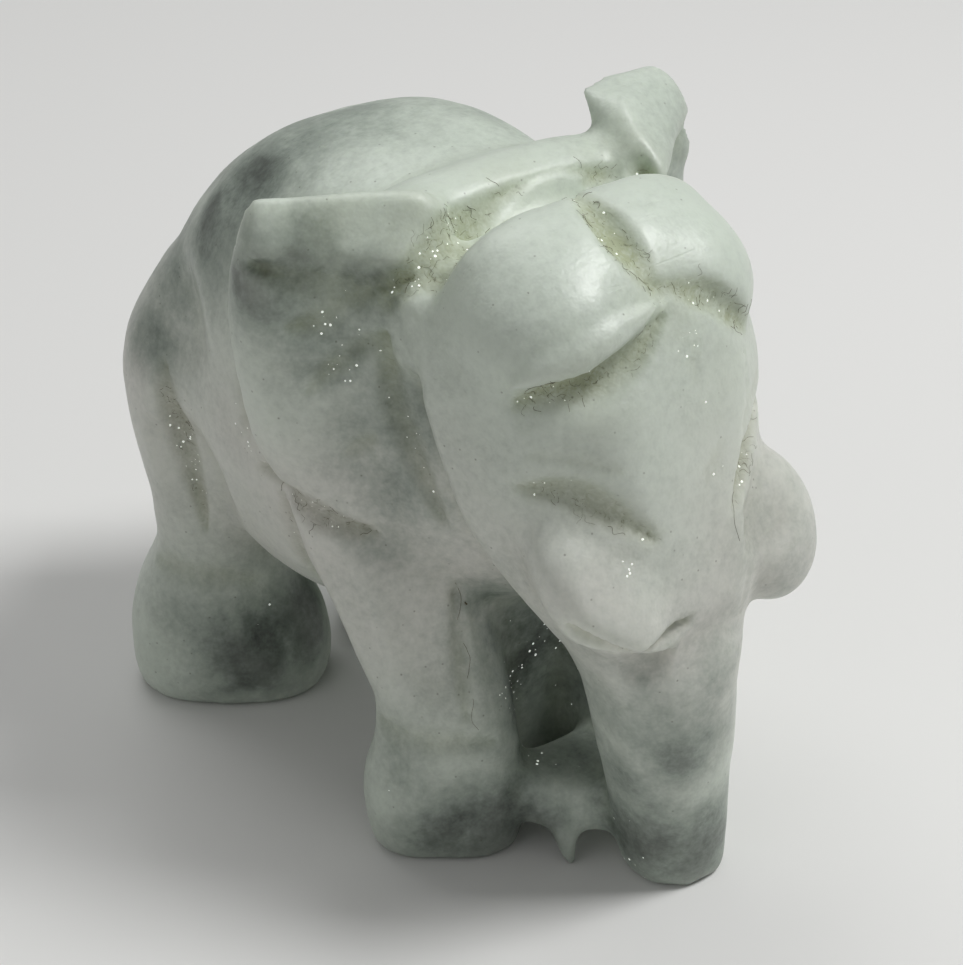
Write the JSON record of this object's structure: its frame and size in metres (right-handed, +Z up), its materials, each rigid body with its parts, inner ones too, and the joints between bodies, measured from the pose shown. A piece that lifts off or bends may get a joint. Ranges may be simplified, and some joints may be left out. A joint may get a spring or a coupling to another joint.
{
  "type": "elephant figurine",
  "caption": "Small polished stone elephant carving that stands on clubbed feet and its trunk tip, with swept-back ears, brow domes and short tusks.",
  "frame": {"origin": "on the ground under the middle of the carving's length and width", "axes": "+Z up, -Y ahead of the face, -X out of the right flank"},
  "size_m": [0.0356, 0.053, 0.0472],
  "materials": {
    "jadeite": "polished translucent stone, white with grey-green clouds, matt in the grooves"
  },
  "bodies": {
    "root": {"elephant": "jadeite"}
  },
  "joints": []
}
